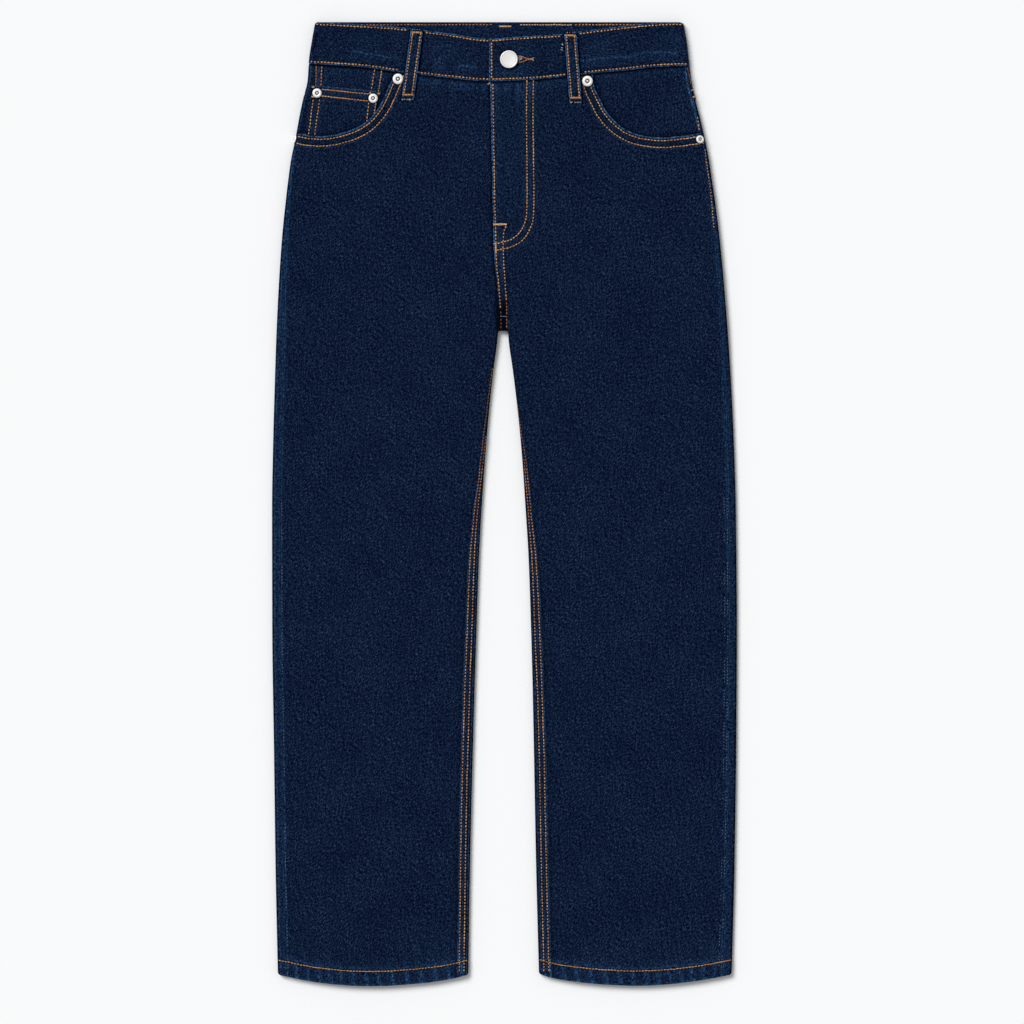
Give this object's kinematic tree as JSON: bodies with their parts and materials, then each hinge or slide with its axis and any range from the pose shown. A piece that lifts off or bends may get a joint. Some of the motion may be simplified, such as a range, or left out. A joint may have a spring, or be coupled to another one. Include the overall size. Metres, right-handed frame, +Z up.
{
  "type": "loose fit jeans",
  "caption": "Loose fit denim jeans laid flat, front up, with fly, curved front pockets, coin pocket, belt loops, shank button, rivets and turned hems.",
  "frame": {"origin": "middle of the whole garment, on the surface that it lies on", "axes": "+Y from the hems to the waist, +X to the wearer's left, +Z up out of the front"},
  "size_m": [0.4882, 1.0121, 0.0161],
  "materials": {
    "denim": "raw indigo twill with pale flecks, matt",
    "steel": "silver-white button and rivets, satin"
  },
  "bodies": {
    "root": {"front_left": "denim", "front_right": "denim", "back_left": "denim", "back_right": "denim", "yoke_left": "denim", "yoke_right": "denim", "waistband": "denim", "pocket_facing_left": "denim", "pocket_facing_right": "denim", "coin_pocket": "denim", "back_pocket_left": "denim", "back_pocket_right": "denim", "belt_loop_front_left": "denim", "belt_loop_front_right": "denim", "belt_loop_side_left": "denim", "belt_loop_side_right": "denim", "belt_loop_back": "denim", "button": "steel", "rivet_coin_outer": "steel", "rivet_coin_inner": "steel", "rivet_mouth_right_inner": "steel", "rivet_mouth_left_inner": "steel", "rivet_mouth_right_outer": "steel", "rivet_mouth_left_outer": "steel"}
  },
  "joints": []
}
